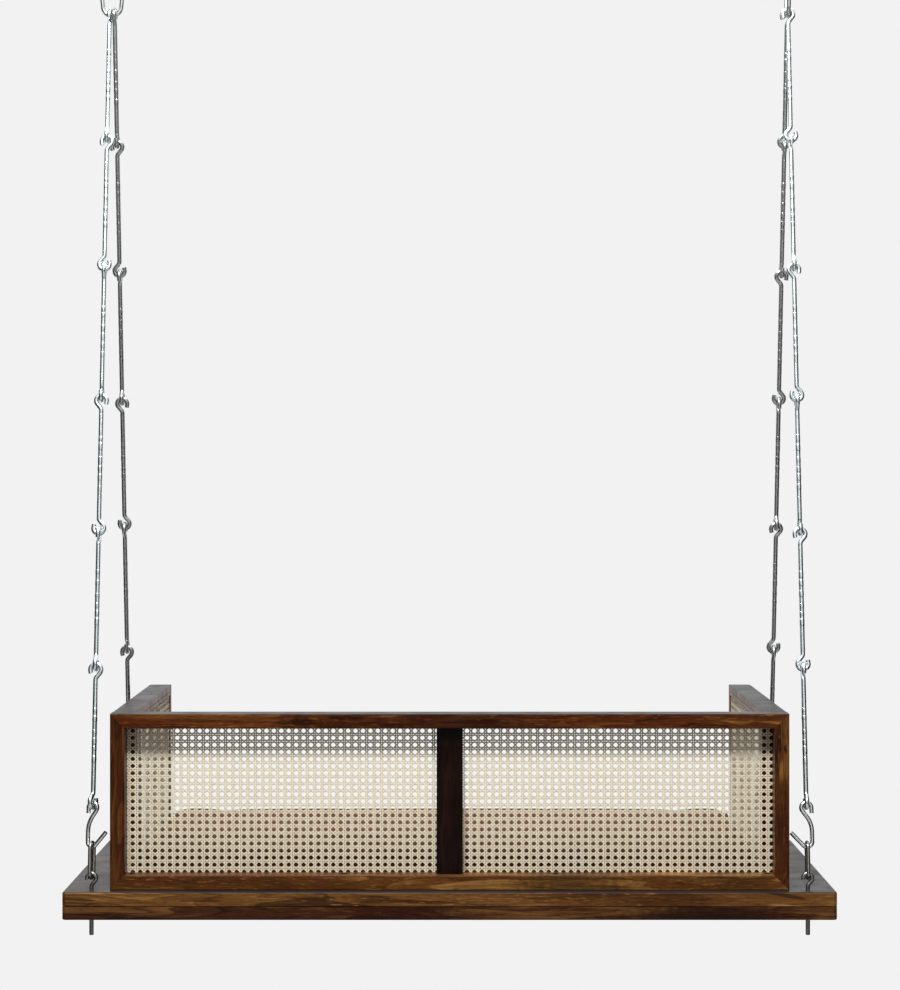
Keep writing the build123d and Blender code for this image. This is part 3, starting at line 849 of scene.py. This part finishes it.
pad_side_room = 5.5 * MM      # CAD cushion's sides to the pad before it is filled
rim_low_rise = 7 * MM         # CAD cushion's underside to the pad's lower edge
rim_high_drop = 2 * MM        # and its top to the pad's upper edge
pad_waist = 1.5 * MM          # how far the sides are pulled in halfway up
foot_rise, foot_inset = 0.6 * MM, 9 * MM          # face under the lower edge
crown_rise, crown_inset = 3.5 * MM, 16 * MM       # face over the upper edge
pad_corner_radius = 24 * MM
pad_outline_spacing = 40 * MM
pad_voxel = 6 * MM
pad_held_height = 3 * MM      # of the underside that is held down
pad_pressure = 4.0
pad_shrink = -0.02
pad_frames = 20
pad_most_move = 8 * MM
pad_face_room = 1 * MM        # least room inside the CAD cushion's sides
corner_steps = 6
piping_radius = 2.3 * MM
piping_sides = 10
piping_spacing = 6 * MM
piping_face_room = 2.4 * MM
piping_neighbours = 12        # points of the pad that carry one point of the piping
piping_follow = 0.9           # share of their move


def rounded_outline(low, high, spacing):
    """Points round a rectangle with rounded corners, in plan."""
    radius = pad_corner_radius
    corners = [
        (high.x - radius, high.y - radius, 0.0),
        (low.x + radius, high.y - radius, 0.5 * math.pi),
        (low.x + radius, low.y + radius, math.pi),
        (high.x - radius, low.y + radius, 1.5 * math.pi),
    ]
    points = []
    for index, (x, y, turn) in enumerate(corners):
        for k in range(corner_steps + 1):
            angle = turn + k * math.pi / (2 * corner_steps)
            points.append(Vector((x + radius * math.cos(angle), y + radius * math.sin(angle))))
        next_x, next_y, next_turn = corners[(index + 1) % 4]
        goal = Vector((next_x + radius * math.cos(next_turn),
                       next_y + radius * math.sin(next_turn)))
        start = points[-1]
        count = max(1, round((goal - start).length / spacing))
        points += [start.lerp(goal, k / count) for k in range(1, count)]
    return points


def shell(outline, levels):
    """A closed solid of one outline at several heights, each pulled in by its own inset."""
    bm = bmesh.new()
    centre = sum(outline, Vector((0, 0))) / len(outline)
    rings = []
    for z, inset in levels:
        ring = []
        for point in outline:
            out = point - centre
            x = point.x - math.copysign(inset, out.x)
            y = point.y - math.copysign(inset, out.y)
            ring.append(bm.verts.new((x, y, z)))
        rings.append(ring)
    for ring, following in zip(rings, rings[1:]):
        bridge(bm, ring, following)
    bm.faces.new(reversed(rings[0]))
    bm.faces.new(rings[-1])
    return bm


def inflate(piece, floor_z):
    """Fills a closed pad with pressure as cloth, its underside held down, and keeps the result.

    Returns the places that its points had before."""
    bpy.context.view_layer.objects.active = piece
    remesh = piece.modifiers.new("remesh", "REMESH")
    remesh.mode = "VOXEL"
    remesh.voxel_size = pad_voxel
    bpy.ops.object.modifier_apply(modifier=remesh.name)
    start = [vert.co.copy() for vert in piece.data.vertices]
    held = piece.vertex_groups.new(name="held")
    held_z = floor_z + pad_held_height
    held.add([vert.index for vert in piece.data.vertices if vert.co.z < held_z], 1.0, "REPLACE")
    cloth = piece.modifiers.new("cloth", "CLOTH")
    cloth.settings.use_pressure = True
    cloth.settings.uniform_pressure_force = pad_pressure
    cloth.settings.effector_weights.gravity = 0.0
    cloth.settings.vertex_group_mass = held.name
    cloth.settings.shrink_min = pad_shrink
    cloth.settings.quality = 4
    cloth.point_cache.frame_end = pad_frames
    for frame_number in range(1, pad_frames + 1):
        bpy.context.scene.frame_set(frame_number)
    bpy.ops.object.modifier_apply(modifier=cloth.name)
    for vert, before in zip(piece.data.vertices, start):
        move = vert.co - before
        if move.length > 0:
            share = math.tanh(move.length / pad_most_move)
            vert.co = before + move.normalized() * pad_most_move * share
    piece.vertex_groups.clear()
    bpy.context.scene.frame_set(1)
    return start


def keep_inside(place, low, high, room):
    """Moves a place to at least some room inside a box, in plan."""
    place.x = min(max(place.x, low.x + room), high.x - room)
    place.y = min(max(place.y, low.y + room), high.y - room)


def piping(bm, path):
    """A closed round cord through the points of a loop."""
    count = len(path)
    rings = []
    for index, point in enumerate(path):
        run = (path[(index + 1) % count] - path[index - 1]).normalized()
        across = run.cross(UP).normalized()
        upward_side = across.cross(run).normalized()
        rings.append(circle(bm, point, across, upward_side, piping_radius, piping_sides))
    for ring, following in zip(rings, rings[1:] + rings[:1]):
        for face in bridge(bm, ring, following):
            face.smooth = True


def cushion():
    """A boxed seat pad: filled by a cloth simulation, then piped round both edges."""
    low, high = box_corners("seat_cushion")
    rim_low = low.z + rim_low_rise
    rim_high = high.z - rim_high_drop
    pad_low = Vector((low.x + pad_side_room, low.y + pad_side_room))
    pad_high = Vector((high.x - pad_side_room, high.y - pad_side_room))
    levels = [
        (low.z + foot_rise, foot_inset),
        (rim_low, 0.0),
        ((rim_low + rim_high) / 2, pad_waist),
        (rim_high, 0.0),
        (rim_high + crown_rise, crown_inset),
    ]
    bm = shell(rounded_outline(pad_low, pad_high, pad_outline_spacing), levels)
    bmesh.ops.triangulate(bm, faces=[face for face in bm.faces if len(face.verts) > 4])
    piece = add_piece("cushion_pad", "seat", cushion_fabric, bm)
    settled = None
    start = inflate(piece, low.z)
    settled = KDTree(len(start))
    for index, place in enumerate(start):
        settled.insert(place, index)
    settled.balance()
    moves = [vert.co - place for vert, place in zip(piece.data.vertices, start)]
    for vert in piece.data.vertices:
        keep_inside(vert.co, low, high, pad_face_room)
    bpy.context.view_layer.objects.active = piece
    finer = piece.modifiers.new("finer", "SUBSURF")
    finer.levels = 1
    bpy.ops.object.modifier_apply(modifier=finer.name)
    for polygon in piece.data.polygons:
        polygon.use_smooth = settled is not None
    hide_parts("seat_cushion")

    bm = bmesh.new()
    for rim in (rim_low, rim_high):
        path = []
        for point in rounded_outline(pad_low, pad_high, piping_spacing):
            place = Vector((point.x, point.y, rim))
            if settled:
                found = settled.find_n(place, piping_neighbours)
                move = sum((moves[index] for _, index, _ in found), Vector()) / len(found)
                place += move * piping_follow
            keep_inside(place, low, high, piping_face_room)
            path.append(place)
        piping(bm, path)
    trim = add_piece("cushion_piping", "seat", piping_fabric, bm)


cushion()


# ---------------------------------------------------------------- floor, light and camera

background = 0.888
ambient = 0.06                # strength of the world as light
ambient_colour = (1.0, 0.92, 0.8, 1)
floor_drop = 0.42             # lowest point of the swing to the floor
floor_radius = 3.0

# name: place, width, height and watts
lamps = {
    "key": ((-0.4, -2.3, 1.6), 1.2, 0.7, 172),
    "top": ((0.0, 0.7, 1.9), 4.2, 1.2, 84),
    "fill": ((1.8, -3.4, -0.4), 1.6, 1.6, 8),
}
aim_rise = 0.1                # top of the seat to the point that the lamps aim at


def floor():
    """A pale round floor under the swing that fades into the background."""
    bm = bmesh.new()
    bmesh.ops.create_circle(bm, cap_ends=True, segments=64, radius=floor_radius)
    mesh = finished_mesh("floor", bm)
    disc = bpy.data.objects.new("floor", mesh)
    disc.location = (0, 0, cad_low[2] - floor_drop)
    bpy.context.scene.collection.objects.link(disc)
    n = Nodes("floor_paper")
    grain = n.noise(n.place, 6.0, 3.0)
    n.set(Base_Color=n.ramp(grain, [(0.3, 0.6), (0.7, 0.63)]), Roughness=0.9)
    outward = n.math("DIVIDE", n.length(n.place), floor_radius)
    fade = n.ramp(outward, [(0.18, 1.0), (0.46, 0.0)], "EASE")
    front = n.math("SUBTRACT", 1.0, n.add("ShaderNodeNewGeometry").outputs["Backfacing"])
    clear = n.add("ShaderNodeBsdfTransparent")
    blend = n.add("ShaderNodeMixShader")
    n.join(n.math("MULTIPLY", fade, front), blend.inputs["Fac"])
    n.join(clear.outputs["BSDF"], blend.inputs[1])
    n.join(n.shader.outputs["BSDF"], blend.inputs[2])
    n.join(blend.outputs["Shader"], n.output.inputs["Surface"])
    mesh.materials.append(n.material)


def world():
    """A plain pale background, and a much weaker, warmer one as light."""
    scene_world = bpy.data.worlds.new("studio")
    scene_world.use_nodes = True
    bpy.context.scene.world = scene_world
    tree = Tree(scene_world.node_tree)
    output = tree.add("ShaderNodeOutputWorld")
    path = tree.add("ShaderNodeLightPath")
    seen = tree.math("MAXIMUM", path.outputs["Is Camera Ray"], path.outputs["Is Glossy Ray"])
    seen = tree.math("MAXIMUM", seen, path.outputs["Is Transmission Ray"])
    shown = tree.add("ShaderNodeBackground")
    shown.inputs["Color"].default_value = (background, background, background, 1)
    light = tree.add("ShaderNodeBackground")
    light.inputs["Color"].default_value = ambient_colour
    light.inputs["Strength"].default_value = ambient
    blend = tree.add("ShaderNodeMixShader")
    tree.join(seen, blend.inputs["Fac"])
    tree.join(light.outputs["Background"], blend.inputs[1])
    tree.join(shown.outputs["Background"], blend.inputs[2])
    tree.join(blend.outputs["Shader"], output.inputs["Surface"])


def lamp(name, place, width, height, watts):
    """A soft rectangular lamp aimed at the seat."""
    target = Vector((0, 0, seat_top + aim_rise))
    data = bpy.data.lights.new(name, "AREA")
    data.shape = "RECTANGLE"
    data.size = width
    data.size_y = height
    data.energy = watts
    light = bpy.data.objects.new(name, data)
    light.location = place
    light.rotation_euler = (target - Vector(place)).to_track_quat("-Z", "Y").to_euler()
    bpy.context.scene.collection.objects.link(light)


def flag(name, low, high):
    """An upright dark card between two corners that only reflections see."""
    bm = bmesh.new()
    corners = [low, (high[0], high[1], low[2]), high, (low[0], low[1], high[2])]
    bm.faces.new([bm.verts.new(corner) for corner in corners])
    mesh = finished_mesh(name, bm)
    card = bpy.data.objects.new(name, mesh)
    bpy.context.scene.collection.objects.link(card)
    n = Nodes(name)
    shade = n.noise(n.place, 3.0, 2.0)
    n.set(Base_Color=n.ramp(shade, [(0.3, 0.008), (0.7, 0.02)]), Roughness=0.9)
    mesh.materials.append(n.material)
    card.visible_camera = False
    card.visible_diffuse = False
    card.visible_shadow = False
    card.visible_transmission = False


def camera():
    """Stands behind the swing, level, a little below the middle of the chains.

    Its place, focal length and shift were fitted to the corners and hooks of the photograph."""
    data = bpy.data.cameras.new("camera")
    eye = bpy.data.objects.new("camera", data)
    eye.location = (6.0 * MM, -4303.3 * MM, -912.9 * MM)
    eye.rotation_euler = (math.pi / 2, 0, 0)
    image_height = 990
    focal_pixels = 2460.5
    shift_pixels = (-3.3, -34.05)
    data.sensor_width = 36.0
    data.lens = focal_pixels * data.sensor_width / image_height
    data.shift_x = shift_pixels[0] / image_height
    data.shift_y = shift_pixels[1] / image_height
    bpy.context.scene.collection.objects.link(eye)
    bpy.context.scene.camera = eye


floor()
world()
for name, settings in lamps.items():
    lamp(name, *settings)
for side, sign in side_signs.items():
    flag(f"{side}_high_flag", (sign * 2.4, -3.6, -0.85), (sign * 2.4, 1.1, 0.7))
    flag(f"{side}_low_flag", (sign * 1.8, -4.4, -2.4), (sign * 1.8, 1.1, -0.85))
flag("low_rear_flag", (-2.2, -5.6, -2.9), (2.2, -5.6, -1.6))
camera()
bpy.context.scene.view_settings.view_transform = "Standard"
